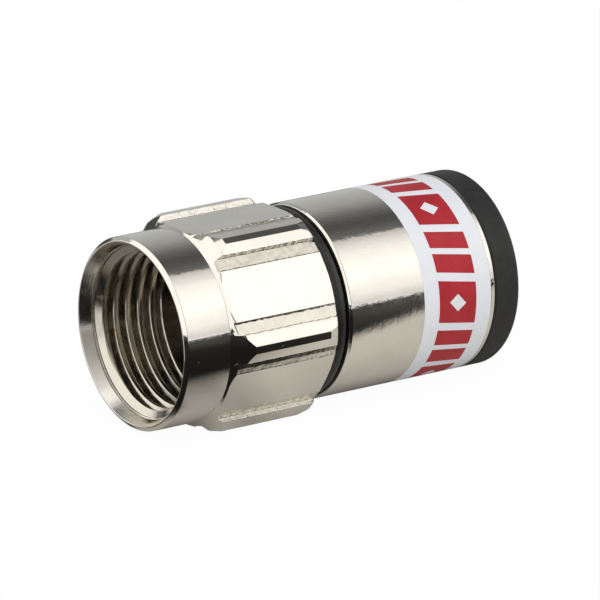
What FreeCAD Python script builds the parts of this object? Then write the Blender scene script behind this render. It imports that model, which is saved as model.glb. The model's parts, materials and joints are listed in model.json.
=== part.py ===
"""Coaxial F connector for a cable, lying on a flat of its nut.

Sizes are in millimetres and degrees. Every sub-part is turned about the X axis, which runs from the nut's
mouth to the cable's entry, and is then laid down: the origin is under the middle of its length, +Z is up.
"""
import FreeCAD, Part
import Sketcher
import os
from math import hypot

doc = FreeCAD.newDocument("f_connector")

# Driving dimensions

SIZES = [
    # alias, value, what it is
    ("thread_diameter", 9.525, "major diameter of the 3/8-32 thread"),
    ("collar_wall", 0.6175, "wall of the round collar, outside the thread"),
    ("collar_length", 2.95, "collar, from the mouth to the start of the hexagon"),
    ("nut_length", 9.9, "whole nut"),
    ("hex_flats", 10.94, "across the flats of the hexagon"),
    ("hex_corners", 12.44, "across the turned lands on the corners"),
    ("flat_face_width", 2.9, "plain face in the middle of a flat"),
    ("channel_width", 0.84, "rough channel beside the plain face"),
    ("channel_depth", 0.12, "channel floor below the plain face"),
    ("channel_wall", 0.14, "width of each sloping wall of a channel"),
    ("rib_rise", 0.09, "inner edge of a rib above the plain face"),
    ("flat_start", 0.12, "unmilled ring between the collar and the flats"),
    ("land_width", 0.46, "turned land on a corner, across the rib"),
    ("crest_bevel", 0.28, "soft bevel where the front chamfer meets the lands"),
    ("heel_bevel", 0.14, "soft bevel where the rear chamfer meets the lands"),
    ("front_cone_angle", 45.0, "front chamfer of the hexagon, from the axis"),
    ("rear_cone_angle", 30.0, "rear chamfer of the hexagon, from the rear face"),
    ("rear_cone_height", 0.77, "rear chamfer, from the lands inwards"),
    ("mouth_step", 0.33, "flare of the mouth, outside the thread"),
    ("mouth_depth", 0.95, "flare along the axis, up to the thread"),
    ("mouth_edge", 0.22, "broken outer edge of the mouth"),
    ("thread_end", 4.85, "where the thread runs out into the plain bore"),
    ("lip_thickness", 1.1, "rear lip of the nut"),
    ("neck_diameter", 6.5, "neck of the post, on which the nut turns"),
    ("neck_clearance", 0.08, "running gap round the neck"),
    ("flange_clearance", 0.2, "play between the post's flange and the lip"),
    ("flange_diameter", 8.5, "flange of the post, under the thread's minor diameter"),
    ("flange_thickness", 1.25, "flange of the post"),
    ("flange_gap", 0.15, "gap round the flange in the nut's plain bore"),
    ("post_bore", 4.9, "hole for the cable's dielectric"),
    ("tube_wall", 0.35, "wall of the post's rear tube"),
    ("tube_end", 17.95, "rear end of the post's tube"),
    ("barb_height", 0.3, "barb of the tube over its outside"),
    ("barb_length", 1.4, "barb along the axis"),
    ("seat_length", 2.4, "length of the post's seat in the body"),
    ("seat_diameter", 6.6, "press-fit seat of the post in the body"),
    ("seal_gap", 0.9, "gap between nut and body, filled by the seal"),
    ("seal_thickness", 0.78, "section of the rubber ring"),
    ("seal_diameter", 10.72, "outside of the rubber ring"),
    ("nose_clearance", 0.1, "gap between the body's nose and the nut"),
    ("body_diameter", 11.0, "outside of the body"),
    ("body_length", 9.85, "body without its nose"),
    ("body_edge", 0.12, "chamfer on the body's front edge"),
    ("rear_edge", 0.1, "chamfer on the body's rear edge"),
    ("wall_thickness", 1.0, "wall of the body round the cable"),
    ("label_start", 5.0, "front edge of the label, from the body's front"),
    ("label_width", 4.52, "label along the axis"),
    ("label_thickness", 0.06, "film of the label, flush in its recess"),
    ("ring_flange", 1.7, "visible part of the clamp ring"),
    ("ring_diameter", 11.0, "outside of the clamp ring"),
    ("ring_round", 0.45, "rounding of the clamp ring's rear edge"),
    ("ring_step", 0.08, "broken front edge of the clamp ring"),
    ("cable_bore", 7.4, "hole for the cable's jacket"),
    ("entry_chamfer", 0.5, "lead-in of the cable's hole"),
    ("ring_nose", 5.0, "nose of the clamp ring inside the body"),
    ("nose_gap", 0.05, "gap between the clamp ring's nose and the body"),
    ("nose_taper", 2.6, "tapered front of the clamp ring's nose"),
    ("nose_edge", 0.45, "wall left at the front end of the nose"),
]

sheet = doc.addObject("Spreadsheet::Sheet", "sizes")
for row, (alias, value, meaning) in enumerate(SIZES, start=1):
    sheet.set("A%d" % row, meaning)
    sheet.set("B%d" % row, str(value))
    sheet.setAlias("B%d" % row, alias)
doc.recompute()


def size(text):
    """The value, in mm, of an expression with <aliases> of the sheet."""
    return float(sheet.evalExpression(text.replace("<", "").replace(">", "")))


def bound(text):
    """An expression with its <aliases> written as another object of the document writes them."""
    return text.replace("<", "sizes.").replace(">", "")


# Places along the axis, from the nut's mouth

LIP_FRONT = "(<nut_length> - <lip_thickness>)"
FLANGE_REAR = "(<nut_length> - <lip_thickness> - <flange_clearance>)"
BODY_FRONT = "(<nut_length> + <seal_gap>)"
NOSE_FRONT = "(<nut_length> + <nose_clearance>)"
BODY_REAR = "(<nut_length> + <seal_gap> + <body_length>)"
RING_REAR = "(<nut_length> + <seal_gap> + <body_length> + <ring_flange>)"
LABEL_FRONT = "(<nut_length> + <seal_gap> + <label_start>)"
LABEL_REAR = "(<nut_length> + <seal_gap> + <label_start> + <label_width>)"
SEAT_REAR = "(<nut_length> + <nose_clearance> + <seat_length>)"

# Radii used by more than one piece

COLLAR = "(<thread_diameter> / 2 + <collar_wall>)"
SEAL_INNER = "(<seal_diameter> / 2 - <seal_thickness>)"
BODY_BORE = "(<body_diameter> / 2 - <wall_thickness>)"
TUBE_OUTER = "(<post_bore> / 2 + <tube_wall>)"

# The connector lies on the ribs beside the lowest flat, or on the unmilled ring where that is larger

UNMILLED = COLLAR + " + <flat_start> * tan(<front_cone_angle> * 1 deg)"
AXIS_HEIGHT = "max(<hex_flats> / 2 + <rib_rise>; %s)" % UNMILLED


def add_body(label):
    body = doc.addObject("PartDesign::Body", label)
    body.Label = label
    body.Placement = FreeCAD.Placement()
    return body


def plane(body, role):
    return next(item for item in body.Origin.OriginFeatures if item.Role == role)


def add_outline(body, name, role, corners, offset=None):
    """A closed sketch of straight lines whose corners are expressions of the sheet's sizes."""
    sketch = body.newObject("Sketcher::SketchObject", name)
    sketch.AttachmentSupport = [(plane(body, role), "")]
    sketch.MapMode = "FlatFace"
    if offset:
        sketch.setExpression("AttachmentOffset.Base.z", bound(offset))
    points = [FreeCAD.Vector(size(across), size(up), 0) for across, up in corners]
    count = len(points)
    for index in range(count):
        sketch.addGeometry(Part.LineSegment(points[index], points[(index + 1) % count]), False)
    for index in range(count):
        sketch.addConstraint(Sketcher.Constraint("Coincident", index, 2, (index + 1) % count, 1))
    for index, (across, up) in enumerate(corners):
        for kind, text, value in (("DistanceX", across, points[index].x), ("DistanceY", up, points[index].y)):
            number = sketch.addConstraint(Sketcher.Constraint(kind, -1, 1, index, 1, value))
            sketch.setExpression("Constraints[%d]" % number, bound(text))
    return sketch


def turn(body, name, corners):
    """A turned solid: the outline (place along the axis, radius) goes once round the X axis."""
    sketch = add_outline(body, name + "_outline", "XY_Plane", corners)
    feature = body.newObject("PartDesign::Revolution", name)
    feature.Profile = sketch
    feature.ReferenceAxis = (sketch, ["H_Axis"])
    feature.Angle = 360.0
    doc.recompute()
    return feature


def circles(shape, place, radius, slack=1e-4):
    """Names of the circular edges round the axis at a place along it, with a radius."""
    names = []
    for number, edge in enumerate(shape.Edges, start=1):
        curve = edge.Curve
        if not isinstance(curve, Part.Circle):
            continue
        on_axis = hypot(curve.Center.y, curve.Center.z) < slack
        if on_axis and abs(curve.Center.x - place) < slack and abs(curve.Radius - radius) < slack:
            names.append("Edge%d" % number)
    return names


def round_edge(body, name, base, place, radius, amount):
    """A fillet on the circular edge at a place and a radius, all three given as expressions."""
    feature = body.newObject("PartDesign::Fillet", name)
    feature.Base = (base, circles(base.Shape, size(place), size(radius)))
    feature.setExpression("Radius", bound(amount))
    doc.recompute()
    return feature


def lay_down(part, along="0"):
    """Put a sub-part, made round the X axis from the mouth on, over the origin on the surface it lies on."""
    part.setExpression("Placement.Base.x", bound(along + " - %s / 2" % RING_REAR))
    part.setExpression("Placement.Base.z", bound(AXIS_HEIGHT))
    return part


# Coupling nut: a turned blank, six milled flats with their channels, then the bore

def make_nut():
    body = add_body("coupling_nut")
    crest = "<hex_corners> / 2"
    cone_end = "<collar_length> + (<hex_corners> / 2 - %s) / tan(<front_cone_angle> * 1 deg)" % COLLAR
    rear_start = "<nut_length> - <rear_cone_height> * tan(<rear_cone_angle> * 1 deg)"
    bore = "<thread_diameter> / 2"
    plain = "<flange_diameter> / 2 + <flange_gap>"
    mouth = bore + " + <mouth_step>"
    lip = "<neck_diameter> / 2 + <neck_clearance>"
    blank = turn(body, "turned_blank", [
        ("0", mouth),
        ("0", COLLAR + " - <mouth_edge>"),
        ("<mouth_edge>", COLLAR),
        ("<collar_length>", COLLAR),
        (cone_end + " - <crest_bevel> * cos(<front_cone_angle> * 1 deg)",
         crest + " - <crest_bevel> * sin(<front_cone_angle> * 1 deg)"),
        (cone_end + " + <crest_bevel>", crest),
        (rear_start + " - <heel_bevel>", crest),
        (rear_start + " + <heel_bevel> * sin(<rear_cone_angle> * 1 deg)",
         crest + " - <heel_bevel> * cos(<rear_cone_angle> * 1 deg)"),
        ("<nut_length>", crest + " - <rear_cone_height>"),
        ("<nut_length>", lip),
        (LIP_FRONT, lip),
        (LIP_FRONT, plain),
        ("<thread_end> + %s - (%s)" % (bore, plain), plain),
        ("<thread_end>", bore),
        ("<mouth_depth>", bore),
    ])

    half_face = "<flat_face_width> / 2"
    face = "<hex_flats> / 2"
    channel_floor = face + " - <channel_depth>"
    channel_out = half_face + " + <channel_width>"
    rib_edge = face + " + <rib_rise>"
    # A rib's flank runs from its inner edge to the turned land on the corner, 30 degrees from the flat.
    land_angle = "(30 deg - asin(<land_width> / <hex_corners>))"
    land_across = "<hex_corners> / 2 * sin(%s)" % land_angle
    land_up = "<hex_corners> / 2 * cos(%s)" % land_angle
    # The cutter's outline closes well outside the lands, along the corner's own direction.
    outside_across = "<hex_corners> * sin(%s)" % land_angle
    outside_up = "<hex_corners> * cos(%s)" % land_angle
    right = [
        (half_face, face),
        (half_face + " + <channel_wall>", channel_floor),
        (channel_out + " - <channel_wall>", channel_floor),
        (channel_out, rib_edge),
        (land_across, land_up),
        (outside_across, outside_up),
    ]
    left = [("-(%s)" % across, up) for across, up in reversed(right)]
    flat = add_outline(body, "flat_outline", "YZ_Plane", right + left, offset="<nut_length>")
    cut = body.newObject("PartDesign::Pocket", "milled_flat")
    cut.Profile = flat
    cut.setExpression("Length", bound("<nut_length> - <collar_length> - <flat_start>"))
    doc.recompute()
    if cut.Shape.Volume > blank.Shape.Volume - 1:
        raise RuntimeError("the flat's cut misses the blank")

    flats = body.newObject("PartDesign::PolarPattern", "six_flats")
    flats.Originals = [cut]
    flats.Axis = (flat, ["N_Axis"])
    flats.Angle = 360.0
    flats.Occurrences = 6
    body.Tip = flats
    doc.recompute()
    return lay_down(body)


# Post: flange in the nut, neck, seat pressed into the body, thin tube with a barb

def make_post():
    body = add_body("post")
    bore = "<post_bore> / 2"
    flange = "<flange_diameter> / 2"
    turn(body, "turned_post", [
        (FLANGE_REAR + " - <flange_thickness>", bore),
        (FLANGE_REAR + " - <flange_thickness>", flange),
        (FLANGE_REAR, flange),
        (FLANGE_REAR, "<neck_diameter> / 2"),
        (NOSE_FRONT, "<neck_diameter> / 2"),
        (NOSE_FRONT, "<seat_diameter> / 2"),
        (SEAT_REAR, "<seat_diameter> / 2"),
        (SEAT_REAR + " + <seat_diameter> / 2 - %s" % TUBE_OUTER, TUBE_OUTER),
        ("<tube_end> - <barb_length>", TUBE_OUTER),
        ("<tube_end> - <barb_length>", TUBE_OUTER + " + <barb_height>"),
        ("<tube_end>", TUBE_OUTER + " - <tube_wall> / 2"),
        ("<tube_end>", bore),
    ])
    return lay_down(body)


# Body: nose that carries the seal, front wall pressed on the post, open rear

def make_shell():
    body = add_body("body_shell")
    outer = "<body_diameter> / 2"
    recess = outer + " - <label_thickness>"
    turn(body, "turned_body", [
        (NOSE_FRONT, "<seat_diameter> / 2"),
        (NOSE_FRONT, SEAL_INNER),
        (BODY_FRONT, SEAL_INNER),
        (BODY_FRONT, outer + " - <body_edge>"),
        (BODY_FRONT + " + <body_edge>", outer),
        (LABEL_FRONT, outer),
        (LABEL_FRONT, recess),
        (LABEL_REAR, recess),
        (LABEL_REAR, outer),
        (BODY_REAR + " - <rear_edge>", outer),
        (BODY_REAR, outer + " - <rear_edge>"),
        (BODY_REAR, BODY_BORE),
        (SEAT_REAR, BODY_BORE),
        (SEAT_REAR, "<seat_diameter> / 2"),
    ])
    return lay_down(body)


def make_label():
    body = add_body("label_band")
    outer = "<body_diameter> / 2"
    turn(body, "wrapped_film", [
        (LABEL_FRONT, outer + " - <label_thickness>"),
        (LABEL_FRONT, outer),
        (LABEL_REAR, outer),
        (LABEL_REAR, outer + " - <label_thickness>"),
    ])
    return lay_down(body)


# Clamp ring: a flange as wide as the body, and a nose that wedges the cable's jacket

def make_clamp():
    body = add_body("clamp_ring")
    outer = "<ring_diameter> / 2"
    nose = BODY_BORE + " - <nose_gap>"
    bore = "<cable_bore> / 2"
    nose_front = BODY_REAR + " - <ring_nose>"
    ring = turn(body, "moulded_ring", [
        (nose_front, nose + " - <nose_gap> - <nose_edge>"),
        (nose_front, nose + " - <nose_gap>"),
        (nose_front + " + <nose_gap>", nose),
        (BODY_REAR, nose),
        (BODY_REAR, outer + " - <ring_step>"),
        (BODY_REAR + " + <ring_step>", outer),
        (RING_REAR, outer),
        (RING_REAR, bore + " + <entry_chamfer>"),
        (RING_REAR + " - <entry_chamfer>", bore),
        (nose_front + " + <nose_taper>", bore),
    ])
    round_edge(body, "rounded_rim", ring, RING_REAR, outer, "<ring_round>")
    return lay_down(body)


def make_seal():
    seal = doc.addObject("Part::Torus", "nut_seal_ring")
    seal.Label = "nut_seal_ring"
    seal.setExpression("Radius1", bound("<seal_diameter> / 2 - <seal_thickness> / 2"))
    seal.setExpression("Radius2", bound("<seal_thickness> / 2"))
    along_x = FreeCAD.Rotation(FreeCAD.Vector(0, 1, 0), 90)
    seal.Placement = FreeCAD.Placement(FreeCAD.Vector(), along_x)
    return lay_down(seal, along=BODY_FRONT + " - <seal_thickness> / 2")


parts = [make_nut(), make_post(), make_seal(), make_shell(), make_label(), make_clamp()]
doc.recompute()

for item in doc.Objects:
    if "Invalid" in item.State or "Error" in item.State:
        raise RuntimeError("%s failed: %s" % (item.Name, item.State))

os.makedirs("parts", exist_ok=True)
for part in parts:
    shape = part.Shape
    if shape.isNull() or not shape.isValid():
        raise RuntimeError("%s has no valid shape" % part.Label)
    shape.exportStep("parts/%s.step" % part.Label)
    print("%-16s %d solid, %.2f cubic mm" % (part.Label, len(shape.Solids), shape.Volume))
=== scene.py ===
import json
import math
import bmesh
import bpy
import numpy as np
from mathutils import Matrix, Vector


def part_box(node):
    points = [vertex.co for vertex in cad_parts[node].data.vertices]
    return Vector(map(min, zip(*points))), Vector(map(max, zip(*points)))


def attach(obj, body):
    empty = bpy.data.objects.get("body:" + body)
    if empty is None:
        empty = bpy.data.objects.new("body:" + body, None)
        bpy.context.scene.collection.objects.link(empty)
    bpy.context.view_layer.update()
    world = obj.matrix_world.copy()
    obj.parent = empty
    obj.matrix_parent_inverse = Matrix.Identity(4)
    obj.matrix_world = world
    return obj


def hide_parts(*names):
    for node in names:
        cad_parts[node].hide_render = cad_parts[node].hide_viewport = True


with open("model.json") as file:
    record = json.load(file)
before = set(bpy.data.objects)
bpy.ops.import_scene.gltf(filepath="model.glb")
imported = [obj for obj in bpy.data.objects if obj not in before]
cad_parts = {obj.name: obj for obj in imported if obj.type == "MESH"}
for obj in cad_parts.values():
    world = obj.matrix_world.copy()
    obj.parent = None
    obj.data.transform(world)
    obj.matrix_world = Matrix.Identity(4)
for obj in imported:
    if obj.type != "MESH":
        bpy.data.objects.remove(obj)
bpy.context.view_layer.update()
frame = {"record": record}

# Lengths are in mm: x runs along the axis from the nut's mouth, r is the distance from the axis

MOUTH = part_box("coupling_nut")[0].x * 1000
AXIS_HEIGHT = frame["record"]["mounts"][0]["pos_m"][2] * 1000
BODY_RADIUS = 5.5
AROUND = 256
SAME_PLACE, NEARLY_STRAIGHT = 1e-6, 0.01
MERGE_M, THIN_M = 2e-8, 1e-8


def to_row(x, y, z):
    """Metres in the row frame, from mm along and across the axis."""
    return np.stack([x + MOUTH, y, z + AXIS_HEIGHT], -1) / 1000


# Shapes

CORNER_STEPS = 3
CORNER_ROWS = CORNER_STEPS + 1


def rounded(points, radii, steps=CORNER_STEPS):
    """A line through the points with an arc of steps + 1 points at each corner that has a radius."""
    points = [np.array(p, float) for p in points]
    out = []
    for i, (p, radius) in enumerate(zip(points, radii)):
        if i in (0, len(points) - 1) or radius <= 0:
            out.append(p)
            continue
        before, after = points[i - 1] - p, points[i + 1] - p
        length_before, length_after = np.hypot(*before), np.hypot(*after)
        if min(length_before, length_after) < SAME_PLACE:
            out += [p] * (steps + 1)
            continue
        before, after = before / length_before, after / length_after
        half = math.acos(float(np.clip(before @ after, -1, 1))) / 2
        if half > math.pi / 2 - NEARLY_STRAIGHT:
            out += [p] * (steps + 1)
            continue
        reach = min(radius / math.tan(half), 0.45 * length_before, 0.45 * length_after)
        radius = reach * math.tan(half)
        middle = before + after
        centre = p + middle / np.hypot(*middle) * radius / math.sin(half)
        start, end = p + before * reach - centre, p + after * reach - centre
        turn = math.atan2(start[0] * end[1] - start[1] * end[0], start @ end)
        for k in range(steps + 1):
            c, s = math.cos(turn * k / steps), math.sin(turn * k / steps)
            out.append(centre + np.array([start[0] * c - start[1] * s, start[0] * s + start[1] * c]))
    return np.array(out)


def finish_mesh(name, verts, faces, body, replaced, materials, face_material=None):
    """A mesh piece on a CAD body, with its normals weighted by the faces' areas."""
    mesh = bpy.data.meshes.new(name)
    mesh.from_pydata(verts.tolist(), [], np.asarray(faces).tolist())
    for material in materials:
        mesh.materials.append(material)
    if face_material is not None:
        mesh.polygons.foreach_set("material_index", np.asarray(face_material, np.int32))
    edit = bmesh.new()
    edit.from_mesh(mesh)
    bmesh.ops.remove_doubles(edit, verts=edit.verts, dist=MERGE_M)
    bmesh.ops.dissolve_degenerate(edit, dist=THIN_M, edges=edit.edges)
    bmesh.ops.recalc_face_normals(edit, faces=edit.faces)
    edit.to_mesh(mesh)
    edit.free()
    count = len(mesh.polygons)
    mesh.polygons.foreach_set("use_smooth", [True] * count)
    normal, area, total = np.zeros(count * 3), np.zeros(count), np.zeros(count, np.int32)
    mesh.polygons.foreach_get("normal", normal)
    mesh.polygons.foreach_get("area", area)
    mesh.polygons.foreach_get("loop_total", total)
    corner = np.zeros(len(mesh.loops), np.int32)
    mesh.loops.foreach_get("vertex_index", corner)
    summed = np.zeros((len(mesh.vertices), 3))
    np.add.at(summed, corner, np.repeat(normal.reshape(-1, 3) * area[:, None], total, 0))
    summed /= np.maximum(np.linalg.norm(summed, axis=1), 1e-20)[:, None]
    mesh.normals_split_custom_set_from_vertices(summed.tolist())
    piece = bpy.data.objects.new(name, mesh)
    bpy.context.scene.collection.objects.link(piece)
    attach(piece, body)
    if replaced:
        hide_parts(*replaced)


def grid_faces(rows, columns, close_rows=False, close_columns=False):
    """Quads of a grid of vertices numbered row * columns + column."""
    r = np.arange(rows if close_rows else rows - 1)
    c = np.arange(columns if close_columns else columns - 1)
    r, c = np.meshgrid(r, c, indexing="ij")
    r, c = r.ravel(), c.ravel()
    r1, c1 = (r + 1) % rows, (c + 1) % columns
    return np.stack([r * columns + c, r1 * columns + c, r1 * columns + c1, r * columns + c1], -1)


def lathe(name, line, material, replaced):
    """A piece of the connector's body: the closed line (x, r) turned round the axis."""
    turn = np.arange(AROUND) * 2 * math.pi / AROUND
    x, r = line[:, :1] + 0 * turn, line[:, 1:]
    verts = to_row(x, r * np.cos(turn), r * np.sin(turn)).reshape(-1, 3)
    faces = grid_faces(len(line), AROUND, True, True)
    finish_mesh(name, verts, faces, "connector_body", [replaced], [material])


# Materials. Heights are in metres, and the noises' scales are per metre.

def node(tree, kind, inputs=None, **settings):
    """A node with its inputs linked to sockets or set to values."""
    made = tree.nodes.new(kind)
    for key, value in settings.items():
        setattr(made, key, value)
    for key, value in (inputs or {}).items():
        if isinstance(value, bpy.types.NodeSocket):
            tree.links.new(value, made.inputs[key])
        else:
            made.inputs[key].default_value = value
    return made


def math_node(tree, operation, a, b=0.0, c=0.0):
    return node(tree, "ShaderNodeMath", {0: a, 1: b, 2: c}, operation=operation).outputs[0]


def object_place(tree):
    return node(tree, "ShaderNodeTexCoord").outputs["Object"]


def noise(tree, place, scale, detail=3.0, rough=0.5):
    inputs = {"Vector": place, "Scale": scale, "Detail": detail, "Roughness": rough}
    return node(tree, "ShaderNodeTexNoise", inputs).outputs["Fac"]


def ramp(tree, value, stops):
    """A colour ramp between two stops of (place, grey or colour)."""
    made = node(tree, "ShaderNodeValToRGB", {0: value})
    for element, (place, colour) in zip(made.color_ramp.elements, stops):
        element.position = place
        element.color = (*colour, 1) if hasattr(colour, "__len__") else (colour, colour, colour, 1)
    return made.outputs["Color"]


def bump(tree, height, distance, normal=None):
    inputs = {"Height": height, "Distance": distance}
    if normal is not None:
        inputs["Normal"] = normal
    return node(tree, "ShaderNodeBump", inputs).outputs["Normal"]


def new_material(name, **sockets):
    """A material, its tree and its shader, whose sockets are named with _ for a space."""
    material = bpy.data.materials.new(name)
    material.use_nodes = True
    shader = material.node_tree.nodes["Principled BSDF"]
    for socket, value in sockets.items():
        shader.inputs[socket.replace("_", " ")].default_value = value
    return material, material.node_tree, shader


def nickel(name, colour, roughness, grain, waves):
    """Plating with slight waves, a few specks and a fine grain, whose colour and gloss vary a little."""
    material, tree, shader = new_material(name, Metallic=1.0)
    place = object_place(tree)
    shades = [(0.3, [c * 0.93 for c in colour]), (0.62, colour)]
    tree.links.new(ramp(tree, noise(tree, place, 420.0, 4.0), shades), shader.inputs["Base Color"])
    gloss = [(0.35, roughness[0]), (0.7, roughness[1])]
    tree.links.new(ramp(tree, noise(tree, place, 1700.0), gloss), shader.inputs["Roughness"])
    normal = bump(tree, noise(tree, place, 900.0, 2.0), waves)
    normal = bump(tree, noise(tree, place, 3200.0, 2.0), waves * 0.65, normal)
    cells = node(tree, "ShaderNodeTexVoronoi", {"Vector": place, "Scale": 1500.0})
    few = math_node(tree, "GREATER_THAN", cells.outputs["Color"], 0.62)
    near = math_node(tree, "LESS_THAN", cells.outputs["Distance"], 0.06)
    normal = bump(tree, math_node(tree, "MULTIPLY", near, few), 0.000012, normal)
    normal = bump(tree, noise(tree, place, 9000.0, 3.0, 0.6), grain, normal)
    tree.links.new(normal, shader.inputs["Normal"])
    return material


def bump_over(tree, height, distance):
    """One more bump over those that already reach the shader."""
    socket = tree.nodes["Principled BSDF"].inputs["Normal"]
    tree.links.new(bump(tree, height, distance, socket.links[0].from_socket), socket)


def spot(material, place, radius, colour):
    """A small ragged patch of another colour round a place in metres."""
    tree = material.node_tree
    base = tree.nodes["Principled BSDF"].inputs["Base Color"]
    point = object_place(tree)
    away = node(tree, "ShaderNodeVectorMath", {0: point, 1: place}, operation="DISTANCE").outputs["Value"]
    ragged = math_node(tree, "MULTIPLY_ADD", noise(tree, point, 6000.0), radius, away)
    share = ramp(tree, math_node(tree, "DIVIDE", ragged, radius), [(0.85, 1.0), (1.0, 0.0)])
    inputs = {0: share, 6: base.links[0].from_socket, 7: (*colour, 1)}
    tree.links.new(node(tree, "ShaderNodeMix", inputs, data_type="RGBA").outputs[2], base)


def plain(name, cloud, colours, grain=None, **sockets):
    """Film, print, rubber or plastic.

    cloud is the (scale, detail) of the noise that mixes the two colours; grain is the (scale, detail,
    height) of a bump.
    """
    material, tree, shader = new_material(name, **sockets)
    place = object_place(tree)
    shades = ramp(tree, noise(tree, place, *cloud), list(zip((0.3, 0.7), colours)))
    tree.links.new(shades, shader.inputs["Base Color"])
    if grain:
        scale, detail, height = grain
        tree.links.new(bump(tree, noise(tree, place, scale, detail), height), shader.inputs["Normal"])
    return material


NICKEL = (0.82, 0.79, 0.735)
nut_metal = nickel("nut_nickel", NICKEL, (0.06, 0.11), 0.0000016, 0.000005)
body_metal = nickel("body_nickel", NICKEL, (0.06, 0.11), 0.0000022, 0.000008)
post_metal = nickel("post_nickel", (0.74, 0.7, 0.63), (0.14, 0.22), 0.000002, 0.000004)
thread_metal = nickel("thread_nickel", (0.68, 0.64, 0.56), (0.1, 0.2), 0.000002, 0.000003)
channel_metal = nickel("channel_nickel", (0.74, 0.715, 0.63), (0.18, 0.28), 0.000008, 0.000005)

# The channels' walls are dented by the cutter

wall_metal = nickel("wall_nickel", (0.8, 0.77, 0.71), (0.2, 0.34), 0.00001, 0.00002)
tree = wall_metal.node_tree
bump_over(tree, noise(tree, object_place(tree), 4300.0, 1.0), 0.00003)

# The flared mouth is satin from its turning marks

mouth_metal = nickel("mouth_nickel", (0.78, 0.75, 0.69), (0.13, 0.2), 0.000004, 0.000004)
tree = mouth_metal.node_tree
parts = node(tree, "ShaderNodeSeparateXYZ", {"Vector": object_place(tree)}).outputs
drawn = {"X": parts["X"], "Y": math_node(tree, "MULTIPLY", parts["Z"], 0.02)}
marks = noise(tree, node(tree, "ShaderNodeCombineXYZ", drawn).outputs[0], 14000.0, 3.0, 0.6)
bump_over(tree, marks, 0.000005)

# A dark speck on the body's bare strip, and in the thread a patch of bare brass and a nick drawn only as a
# dark spot of colour

spot(body_metal, (0.009225, -0.005463, 0.006197), 0.00024, (0.03, 0.03, 0.03))
spot(thread_metal, (-0.009325, 0.004429, 0.004319), 0.0005, (0.5, 0.33, 0.08))
spot(thread_metal, (-0.009725, 0.003358, 0.002243), 0.0002, (0.04, 0.04, 0.04))

label_white = plain("label_film", (700.0, 4.0), [(0.65, 0.665, 0.7), (0.69, 0.7, 0.73)],
                    (2600.0, 3.0, 0.000003), Roughness=0.42)
print_red = plain("label_print", (900.0, 4.0), [(0.32, 0.006, 0.013), (0.39, 0.012, 0.02)],
                  Roughness=0.45, Specular_IOR_Level=0.35)
rubber = plain("seal_rubber", (1500.0, 4.0), [0.008, 0.016], (6000.0, 3.0, 0.000004), Roughness=0.38)
plastic = plain("clamp_plastic", (1800.0, 5.0), [0.014, 0.02], (9000.0, 4.0, 0.000006),
                Roughness=0.55, Specular_IOR_Level=0.3)


# Coupling nut

PITCH, MAJOR, MINOR = 25.4 / 32, 4.7625, 4.35
THREAD_START, THREAD_END, BORE = 0.88, 5.2125, 4.4
COLLAR, COLLAR_END, STEP, STEP_RADIUS = 5.38, 2.95, 3.07, 5.5
NUT_MIDDLE, NUT_END, LIP_START, LIP_BORE = 6.0, 9.9, 8.8, 3.33
CREST, FRONT_BREAK, REAR_BREAK, REAR_RADIUS = 6.22, 6.022, 6.0988, 5.45
MEAN_RADIUS = 5.5
COLUMN_SPACING, FLAT_ROWS = 0.11, 98

# Where a channel lies across its flat, and how deep its roughness and its ragged edges go

CHANNEL, CHANNEL_FLOOR, ROUGH = (1.46, 2.3), (1.51, 2.16), (1.45, 2.28)
ROUGH_SOFT, ENDS_SOFT = 0.1, 0.25
COARSE, FINE, RAGGED, REAR_RAGGED = 0.007, 0.006, 0.03, 0.012

# Half a flat, from its channel to its rib's corner: across, up and rounding. The channels deepen towards
# their ribs, in two slopes on one side of one flat in three.

EVEN = [(1.45, 5.47, 0.02), (1.55, 5.38, 0.03), (2.16, 5.29, 0.03), (2.22, 5.52, 0.03), (2.96, 5.464, 0.1)]
DEEP = [(1.45, 5.47, 0.02), (1.5, 5.4, 0.03), (2.17, 5.24, 0.03), (2.29, 5.56, 0.03), (2.89, 5.5, 0.1)]
STEEP = [(1.45, 5.47, 0.02), (1.5, 5.45, 0.03), (1.76, 5.39, 0.04), (2.17, 5.2, 0.03), (2.29, 5.56, 0.03),
         (2.89, 5.5, 0.1)]

# The mouth: from the thread's start over a fine groove and the flare to the lip and its broken edge

MOUTH_LINE = [(THREAD_START, MAJOR), (0.8, MAJOR), (0.78, 4.83), (0.72, 4.83), (0.69, 4.79), (0.05, 5.1),
              (0.05, 5.17), (0.22, COLLAR)]
MOUTH_ROUND = [0, 0.02, 0.02, 0.02, 0.03, 0.1, 0.06, 0.06]


def cone_front(r):
    """Where the front chamfer and its soft bevel reach a radius."""
    return float(np.interp(r, [COLLAR, FRONT_BREAK, CREST], [COLLAR_END, 3.592, 4.07]))


def cone_rear(r):
    """Where the rear chamfer and its soft bevel reach a radius."""
    return float(np.interp(r, [REAR_RADIUS, REAR_BREAK, 6.15, CREST], [NUT_END, 9.5254, 9.43, 8.95]))


def section():
    """The hexagon's outline round the axis as (y, z) points."""
    corners = []
    for k in range(6):
        side = [(-t, u, r) for t, u, r in reversed(STEEP if k % 3 == 2 else DEEP)] + EVEN
        c, s = math.cos(math.radians(60 * k)), math.sin(math.radians(60 * k))
        corners += [(-t * c - u * s, u * c - t * s, r) for t, u, r in side]
    corners = corners[::-1]
    ring = [corners[-1]] + corners + [corners[0]]
    line = rounded([p[:2] for p in ring], [0] + [p[2] for p in corners] + [0])[1:-1]
    out = []
    for a, b in zip(line, np.roll(line, -1, 0)):
        count = max(1, int(round(np.hypot(*(b - a)) / COLUMN_SPACING)))
        out += [a + (b - a) * k / count for k in range(count)]
    return np.array(out)


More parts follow.
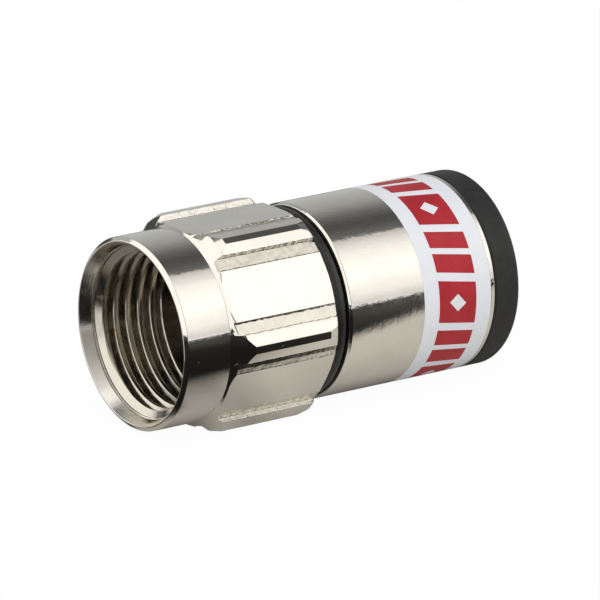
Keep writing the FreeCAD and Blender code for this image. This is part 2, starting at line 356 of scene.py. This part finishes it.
def lattice(u, v, seed):
    """Smooth value noise from -1 to 1 on a seeded lattice that repeats after 64 steps."""
    size = 64
    table = np.random.RandomState(seed).uniform(-1, 1, (size, size))
    iu, iv = np.floor(u).astype(int), np.floor(v).astype(int)
    fu, fv = u - iu, v - iv
    fu, fv = fu * fu * (3 - 2 * fu), fv * fv * (3 - 2 * fv)

    def at(a, b):
        return table[(iu + a) % size, (iv + b) % size]

    return (at(0, 0) * (1 - fu) + at(1, 0) * fu) * (1 - fv) + (at(0, 1) * (1 - fu) + at(1, 1) * fu) * fv


def soft_span(value, start, end, soft):
    """1 between start and end, falling to 0 at both over a soft border."""
    return np.clip((value - start) / soft, 0, 1) * np.clip((end - value) / soft, 0, 1)


def steady_turn(ring, turn):
    """Angles for the round rows, which also advance where a channel's wall leans over its floor."""
    way = np.unwrap(turn)
    length = np.cumsum(np.hypot(*(ring - np.roll(ring, 1, 0)).T))
    steady = length * math.copysign(2 * math.pi, way[-1] - way[0]) / length[-1]
    marks = sorted(int(np.argmin(np.abs((np.degrees(way) - 30 * m + 180) % 360 - 180))) for m in range(12))
    return steady + np.interp(length, length[marks], (way - steady)[marks], period=length[-1])


def nut_column(r):
    """The nut's line (x, r) where its hexagon has radius r, and the first of its rows on the flat."""
    front_break, rear_break = min(r, FRONT_BREAK), min(r, REAR_BREAK)
    front = rounded(
        MOUTH_LINE + [(COLLAR_END, COLLAR), (STEP, STEP_RADIUS), (STEP, min(r, STEP_RADIUS)),
                      (max(STEP, cone_front(front_break)), front_break), (max(STEP, cone_front(r)), r),
                      (NUT_MIDDLE, r)],
        MOUTH_ROUND + [0.05, 0.012, 0, 0.05, 0.04, 0])
    rear = rounded(
        [(NUT_MIDDLE, r), (cone_rear(r), r), (cone_rear(rear_break), rear_break), (NUT_END, REAR_RADIUS),
         (NUT_END, LIP_BORE), (LIP_START, LIP_BORE), (LIP_START, BORE), (THREAD_END, BORE)],
        [0, 0.06, 0.05, 0.05, 0.06, 0.05, 0.02, 0])
    a, b = front[-2], rear[1]
    share = np.linspace(0, 1, FLAT_ROWS + 2)[1:-1, None]
    return np.concatenate([front[:-1], a + (b - a) * share, rear[1:]]), len(front) - 1


def make_nut():
    """The nut without its thread: columns stand round the axis, rows run from the mouth to the lip's back."""
    ring = section()
    radius = np.hypot(ring[:, 0], ring[:, 1])
    turn = np.arctan2(ring[:, 1], ring[:, 0])
    across = np.abs(radius * np.sin(np.radians((np.degrees(turn) - 60) % 60 - 30)))
    inside = (across > CHANNEL[0]) & (across < CHANNEL[1])
    floor = (across > CHANNEL_FLOOR[0]) & (across < CHANNEL_FLOOR[1])
    channel = soft_span(across, *ROUGH, ROUGH_SOFT)

    columns, firsts = zip(*[nut_column(r) for r in radius])
    first = firsts[0]
    last = first + FLAT_ROWS
    lines = np.array(columns)
    x, r = lines[..., 0].copy(), lines[..., 1].copy()
    rows = x.shape[1]
    lip = int(np.argmin(x[0, :first])) + 2

    # Rough channels with ragged walls, and a ragged rear edge

    flat_rows = slice(first, last)
    xs = x[:, flat_rows]
    where = turn[:, None] * MEAN_RADIUS
    ends = soft_span(xs, xs[:, :1], xs[:, -1:], ENDS_SOFT)
    rough = lattice(xs / 0.34 + 3, where / 0.3 + 7, 11) * COARSE + lattice(xs / 0.16, where / 0.15, 5) * FINE
    r[:, flat_rows] += rough * channel[:, None] * ends
    angle = np.repeat(turn[:, None], rows, 1)
    for round_rows in (slice(0, first - 2 * CORNER_ROWS), slice(last + 2 * CORNER_ROWS, None)):
        angle[:, round_rows] = steady_turn(ring, turn)[:, None]
    ragged = lattice(xs / 0.15, where / 0.4, 23) * RAGGED
    angle[:, flat_rows] += ragged * inside[:, None] * ends / MEAN_RADIUS
    rear_rows = slice(last, last + 3 * CORNER_ROWS + 2)
    x[:, rear_rows] += (lattice(where / 0.35, where / 0.5 + 3, 31) - 1) * REAR_RAGGED

    verts = to_row(x.T, (r * np.cos(angle)).T, (r * np.sin(angle)).T).reshape(-1, 3)
    faces = grid_faces(rows, len(turn), close_columns=True)
    row = np.repeat(np.arange(rows - 1), len(turn))
    column = np.tile(np.arange(len(turn)), rows - 1)
    after = (column + 1) % len(turn)
    on_flat = (row >= first - 2) & (row <= last + 2)
    metals = [nut_metal, channel_metal, wall_metal, mouth_metal]
    kind = np.where(floor[column] & floor[after], 1, 2)
    kind = np.where((inside[column] | inside[after]) & on_flat, kind, 0)
    kind = np.where(row < lip, 3, kind)
    finish_mesh("nut_outside", verts, faces, "nut", ["coupling_nut"], metals, kind)


def make_thread():
    """The 3/8-32 thread: rows follow the helix, and are held between the lead-in cone and the plain bore."""
    around, turns, start = 200, 9, -0.372
    lead_slope, run_out_start, rise_start, rise_slope = 1.73, 4.85, 4.55, 0.1
    line = rounded(
        [(-0.2, MINOR), (0.1, MINOR), (0.3385, MAJOR), (0.4375, MAJOR), (0.676, MINOR), (1.1, MINOR)],
        [0, 0.03, 0.025, 0.025, 0.03, 0], 2)
    place = np.append(line[1:-1, 0], 0.736)
    height = np.append(line[1:-1, 1], MINOR)
    along = np.concatenate([place + PITCH * k for k in range(turns)])
    turn = np.arange(around + 1) * 2 * math.pi / around
    x = start - PITCH + along[:, None] + PITCH * turn / (2 * math.pi)
    ridge = np.repeat(np.tile(height, turns)[:, None], around + 1, 1)
    lead_in = MAJOR - (x - THREAD_START) * lead_slope
    run_out = np.clip(MAJOR - (x - run_out_start), BORE, MAJOR)
    least = np.clip(MINOR + (x - rise_start) * rise_slope, MINOR, BORE)
    r = np.maximum(np.minimum(np.maximum(ridge, lead_in), run_out), least)
    r = np.where(x < THREAD_START, MAJOR, np.where(x > THREAD_END, BORE, r))
    x = np.clip(x, THREAD_START, THREAD_END)
    verts = to_row(x, r * np.cos(turn), r * np.sin(turn)).reshape(-1, 3)
    faces = grid_faces(len(x), around + 1)
    cut_away = np.ptp(x.reshape(-1)[faces], axis=1) < 1e-9
    finish_mesh("nut_thread", verts, faces[~cut_away], "nut", [], [thread_metal])


make_nut()
make_thread()

# Post, seal, body, label and clamp ring

post_line = rounded(
    [(7.95, 2.45), (7.35, 2.45), (7.35, 4.25), (8.6, 4.25), (8.6, 3.25), (10.0, 3.25), (10.0, 3.3),
     (12.4, 3.3), (12.9, 2.8), (16.55, 2.8), (16.55, 3.1), (17.95, 2.625), (17.95, 2.45), (17.35, 2.45)],
    [0, 0.12, 0.08, 0.06, 0.04, 0.01, 0.01, 0.08, 0.1, 0.03, 0.04, 0.05, 0.05, 0])
lathe("post_turned", post_line, post_metal, "post")

SEAL_PLACE, SEAL_RADIUS, SEAL_WIRE = 10.41, 4.97, 0.39
seal_turn = np.arange(40) * 2 * math.pi / 40
seal_line = np.stack([SEAL_PLACE + SEAL_WIRE * np.cos(seal_turn),
                      SEAL_RADIUS + SEAL_WIRE * np.sin(seal_turn)], -1)
lathe("seal_ring", seal_line, rubber, "nut_seal_ring")

body_line = rounded(
    [(11.85, 3.3), (10.0, 3.3), (10.0, 4.58), (10.8, 4.58), (10.8, 5.38), (10.92, 5.5), (15.8, 5.5),
     (15.8, 5.44), (20.32, 5.44), (20.32, 5.5), (20.55, 5.5), (20.65, 5.4), (20.65, 4.5), (12.4, 4.5),
     (12.4, 3.3)],
    [0, 0.05, 0.05, 0.04, 0.08, 0.08, 0.02, 0.01, 0.01, 0.02, 0.04, 0.04, 0.05, 0.1, 0])
lathe("body_turned", body_line, body_metal, "body_shell")

label_line = rounded(
    [(17.0, 5.44), (15.8, 5.44), (15.8, 5.5), (20.32, 5.5), (20.32, 5.44)], [0, 0.01, 0.02, 0.02, 0])
lathe("label_wrap", label_line, label_white, "label_band")

clamp_line = rounded(
    [(16.95, 3.87), (15.65, 4.0), (15.65, 4.4), (15.7, 4.45), (20.65, 4.45), (20.65, 5.42), (20.73, 5.5),
     (22.35, 5.5), (22.35, 4.2), (21.85, 3.7), (18.25, 3.7)],
    [0, 0.05, 0.02, 0.02, 0.03, 0.03, 0.03, 0.3, 0.08, 0.08, 0.1], 6)
lathe("clamp_moulded", clamp_line, plastic, "clamp_ring")


# Print on the label: slanted blocks, in turn a pair of bars and a block with a diamond window

def make_print():
    radius, low, high, slant = 5.503, 16.8, 19.3, 0.45
    middle, reach, count, n = (low + high) / 2, 1.2, 12, 7
    verts, faces = [], []

    def patch(corners):
        """A four-cornered patch (x, mm round the band) laid on the band as a grid."""
        base = len(verts)
        a, b, c, d = [np.array(q, float) for q in corners]
        for i in range(n):
            for j in range(n):
                u, w = i / (n - 1), j / (n - 1)
                x, v = (a * (1 - u) + b * u) * (1 - w) + (d * (1 - u) + c * u) * w
                v += ((x - low) / (high - low) - 0.5) * slant
                verts.append((x, radius * math.cos(v / BODY_RADIUS), radius * math.sin(v / BODY_RADIUS)))
        faces.extend((grid_faces(n, n) + base).tolist())

    def bar(start, end):
        patch([(low, start), (high, start), (high, end), (low, end)])

    for k in range(count):
        v = k * 2 * math.pi * BODY_RADIUS / count
        if k % 2:
            bar(v - reach, v - 0.2)
            bar(v + 0.15, v + reach)
            continue
        outer = [(low, v - reach), (high, v - reach), (high, v + reach), (low, v + reach)]
        window = [(middle, v - 0.5), (middle + 0.55, v), (middle, v + 0.5), (middle - 0.55, v)]
        mids = [(middle, v - reach), (high, v), (middle, v + reach), (low, v)]
        for q in range(4):
            after = (q + 1) % 4
            patch([mids[q], outer[after], mids[after], window[after]])
            patch([mids[q], mids[q], window[after], window[q]])
    x, y, z = np.array(verts).T
    finish_mesh("label_print", to_row(x, y, z), faces, "connector_body", [], [print_red])


make_print()

# Camera at the photograph's place

camera = bpy.data.objects.new("camera", bpy.data.cameras.new("camera"))
bpy.context.scene.collection.objects.link(camera)
camera.data.sensor_width = 36
camera.data.lens = 433.47
camera.data.clip_start, camera.data.clip_end = 0.01, 20
right = Vector((0.8172246, -0.5763194, 0.0000489))
up = Vector((0.1696420, 0.2406345, 0.9556760))
facing = Matrix((right, up, right.cross(up))).transposed().to_4x4()
camera.matrix_world = Matrix.Translation((-0.2190347, -0.3107391, 0.1226717)) @ facing
bpy.context.scene.camera = camera


# Floor and white surround: white to the camera, in reflections and through glass, calmer as lighting

def seen_directly(tree):
    path = node(tree, "ShaderNodeLightPath").outputs
    seen = math_node(tree, "MAXIMUM", path["Is Camera Ray"], path["Is Glossy Ray"])
    return math_node(tree, "MAXIMUM", seen, path["Is Transmission Ray"])


WHITE = (1, 1, 1, 1)
FLOOR_HALF = 3

floor_mesh = bpy.data.meshes.new("floor")
floor_corners = [(x * FLOOR_HALF, y * FLOOR_HALF, 0) for x, y in ((-1, -1), (1, -1), (1, 1), (-1, 1))]
floor_mesh.from_pydata(floor_corners, [], [(0, 1, 2, 3)])
floor = bpy.data.objects.new("floor", floor_mesh)
bpy.context.scene.collection.objects.link(floor)
floor_material = bpy.data.materials.new("floor_white")
floor_material.use_nodes = True
tree = floor_material.node_tree
tree.nodes.clear()
share = math_node(tree, "MULTIPLY", seen_directly(tree), 0.97)
matt = node(tree, "ShaderNodeBsdfDiffuse", {"Color": (0.8, 0.8, 0.79, 1)}).outputs[0]
glow = node(tree, "ShaderNodeEmission", {"Color": WHITE, "Strength": 1.0}).outputs[0]
mixed = node(tree, "ShaderNodeMixShader", {0: share, 1: matt, 2: glow}).outputs[0]
node(tree, "ShaderNodeOutputMaterial", {"Surface": mixed})
floor_mesh.materials.append(floor_material)

world = bpy.data.worlds.new("studio")
bpy.context.scene.world = world
world.use_nodes = True
tree = world.node_tree
tree.nodes.clear()
fill = node(tree, "ShaderNodeBackground", {"Color": WHITE, "Strength": 0.75}).outputs[0]
white = node(tree, "ShaderNodeBackground", {"Color": WHITE, "Strength": 1.0}).outputs[0]
mixed = node(tree, "ShaderNodeMixShader", {0: seen_directly(tree), 1: fill, 2: white}).outputs[0]
node(tree, "ShaderNodeOutputWorld", {"Surface": mixed})


# Studio cards, which show only in reflections

def card(name, x, y, z, shade, colour):
    """A card from grids of places in mm (z over the floor) and of brightness."""
    mesh = bpy.data.meshes.new(name)
    faces = grid_faces(*x.shape)
    mesh.from_pydata(to_row(x, y, z - AXIS_HEIGHT).reshape(-1, 3).tolist(), [], faces.tolist())
    mesh.attributes.new("shade", "FLOAT", "POINT").data.foreach_set("value", np.ravel(shade))
    material = bpy.data.materials.new(name)
    material.use_nodes = True
    tree = material.node_tree
    tree.nodes.clear()
    level = node(tree, "ShaderNodeAttribute", attribute_name="shade").outputs["Fac"]
    glow = node(tree, "ShaderNodeEmission", {"Color": (*colour, 1), "Strength": level}).outputs[0]
    node(tree, "ShaderNodeOutputMaterial", {"Surface": glow})
    mesh.materials.append(material)
    made = bpy.data.objects.new(name, mesh)
    bpy.context.scene.collection.objects.link(made)
    made.visible_camera = made.visible_diffuse = made.visible_shadow = made.visible_transmission = False


CARD_AWAY = 150
CAMERA_SIDE = 159.35


def round_card(name, near, far, along, stops, colour, away=CARD_AWAY):
    """A card bent round the axis.

    near and far are its edges at the along places, in degrees from the camera's side upwards; stops are
    (degrees, brightness).
    """
    share = np.linspace(0, 1, 90)
    near, far, along = [np.array(q, float)[:, None] for q in (near, far, along)]
    degrees = near + (far - near) * share
    turn = np.radians(CAMERA_SIDE - degrees)
    shade = np.interp(degrees, *zip(*stops))
    card(name, along + 0 * share, away * np.cos(turn), away * np.sin(turn) + AXIS_HEIGHT, shade, colour)


def flat_card(name, low, high, shade, colour):
    """A card between two opposite corners: level where they have one height, or else upright."""
    (x0, y0, z0), (x1, y1, z1) = low, high
    u, v = np.meshgrid([0.0, 1.0], [0.0, 1.0], indexing="ij")
    if z0 == z1:
        x, y, z = x0 + (x1 - x0) * u, y0 + (y1 - y0) * v, z0 + 0 * u
    else:
        x, y, z = x0 + 0 * u, y0 + (y1 - y0) * u, z0 + (z1 - z0) * v
    card(name, x, y, z, np.full((2, 2), shade), colour)


WARM, COOL, PAPER = (1.0, 0.985, 0.95), (0.97, 0.99, 0.985), (1.01, 0.97, 0.875)
FLOOR_CARD, FLOOR_START, LOWEST = 0.05, -15.5, -18.5
round_card("softbox", [LOWEST, LOWEST], [59, 59], [20, 420],
           [(-18, 0.8), (-8, 1.12), (0, 1.2), (14, 1.42), (24, 1.36), (40, 1.18), (52, 0.86), (59, 0.62)],
           WARM)
round_card("back_card", [110, 59, 59], [172, 172, 172], [-60, 20, 420],
           [(60, 0.17), (64, 0.145), (72, 0.1), (80, 0.09), (88, 0.135), (96, 0.2), (112, 0.39),
            (128, 0.48), (144, 0.53), (160, 0.57), (172, 0.5)], COOL)
round_card("back_dark", [136, 136], [172, 172], [-60, 45], [(136, 0.45), (142, 0.08), (172, 0.07)], COOL,
           CARD_AWAY - 1)
flat_card("mouth_card", (-260, -500, 0), (-260, 500, 800), 1.25, WARM)
flat_card("roof_card", (-260, -500, 800), (60, 500, 800), 1.2, WARM)
flat_card("mouth_floor", (-260, -8, FLOOR_CARD), (FLOOR_START, 500, FLOOR_CARD), 0.9, WARM)
flat_card("dark_side", (-900, -900, FLOOR_CARD), (FLOOR_START, -8, FLOOR_CARD), 0.02, WARM)
round_card("side_card", [LOWEST, LOWEST], [62, 62], [-115, 19],
           [(-18, 0.3), (20, 0.46), (45, 0.72), (60, 0.95)], WARM)
flat_card("dark_front", (FLOOR_START, -900, FLOOR_CARD), (900, -120, FLOOR_CARD), 0.06, WARM)
flat_card("back_floor", (FLOOR_START, 40, FLOOR_CARD), (900, 900, FLOOR_CARD), 0.4, COOL)


def rise(value, start, length):
    """0 up to the start, and 1 from start + length on."""
    return np.clip((value - start) / length, 0, 1)


def near_floor():
    """The floor round the connector as it is reflected: a pale sheet in a dark surround, with the connector's
    shadow painted on the sheet.
    """
    x, y = np.meshgrid(np.concatenate([np.arange(FLOOR_START, 40, 0.5), np.arange(40, 131, 3)]),
                       np.concatenate([np.arange(-120, -40, 4), np.arange(-40, 40.1, 0.5)]), indexing="ij")
    away = np.abs(y)

    # The sheet's edge on the camera's side, its soft border, and its start under the mouth

    edge = np.interp(x, [0.3, 5, 8.6, 11.6, 19.8, 23.9, 27, 40, 92, 130],
                     [-7.5, -8.6, -9, -9.8, -14.6, -18.1, -21.2, -35, -110, -130])
    border = np.interp(x, [5, 12, 18], [3.4, 1.8, 2.8])
    begin = rise(x, np.interp(away, [3.2, 4.4], [0.2, 1.5]), 0.7)
    inside = np.clip((y - edge) / border + 0.35, 0, 1) * begin

    # Its brightness behind the nut's front, with a painted shadow of the connector that darkens it towards
    # the axis, painted shade on the far side, and painted shade under the collar

    sheet = np.interp(away, [0, 1.5, 2.2, 2.9, 3.4, 4.1, 5, 6.1, 7.4, 9.3, 20],
                      [0.1, 0.13, 0.183, 0.31, 0.4, 0.465, 0.515, 0.57, 0.61, 0.63, 0.64])
    sheet *= np.interp(x, [2.5, 3.3, 5.7, 7, 8, 9, 10, 12], [1.05, 0.9, 0.75, 0.9, 1.02, 1.03, 0.99, 1.0])
    behind = rise(y, 7, 2) * rise(x, 2, 2)
    sheet += (0.13 - sheet) * behind
    collar = np.interp(away, [0, 1.5, 2.2, 2.7, 3.4, 4.3, 5.6, 7.4, 8.6, 9.6],
                       [0.1, 0.17, 0.245, 0.33, 0.395, 0.395, 0.35, 0.235, 0.108, 0.012])
    share = (1 - rise(x, 4.6, 1.2)) * (y < 0)
    sheet = sheet * inside * (1 - share) + collar * begin * share

    # The dark surround, grey on the far side before the mouth, and a patch below the lip

    surround = np.interp(x, [5, 16, 20, 35], [0.012, 0.02, 0.035, 0.07])
    shade = np.maximum(surround, sheet)
    open_side = np.interp(x, [FLOOR_START, -9, -7, -3, 0.3], [7, 6, 4.6, 1.0, 0.5])
    shade += (0.22 - shade) * rise(y, open_side, 0.6) * (1 - rise(x, 0.2, 1))
    below = rise(y, -4.4, 0.8) * (1 - rise(y, -0.2, 0.8)) * rise(x, -1.1, 0.5) * (x < 0.6)
    shade = np.maximum(shade, 0.4 * below)
    card("near_floor", x, y, np.full(x.shape, FLOOR_CARD), shade, PAPER)


near_floor()

# Two soft lamps that don't show in reflections

for name, place, size, power in (
        ("key", (-0.35, -0.45, 0.55), 0.4, 2.2), ("side", (0.5, -0.2, 0.4), 0.4, 1.0)):
    lamp = bpy.data.lights.new(name, "AREA")
    lamp.size = size
    lamp.energy = power
    holder = bpy.data.objects.new(name, lamp)
    bpy.context.scene.collection.objects.link(holder)
    holder.location = place
    holder.rotation_euler = (Vector((0, 0, 0.005)) - Vector(place)).to_track_quat("-Z", "Y").to_euler()
    holder.visible_glossy = False

bpy.context.scene.view_settings.view_transform = "Standard"
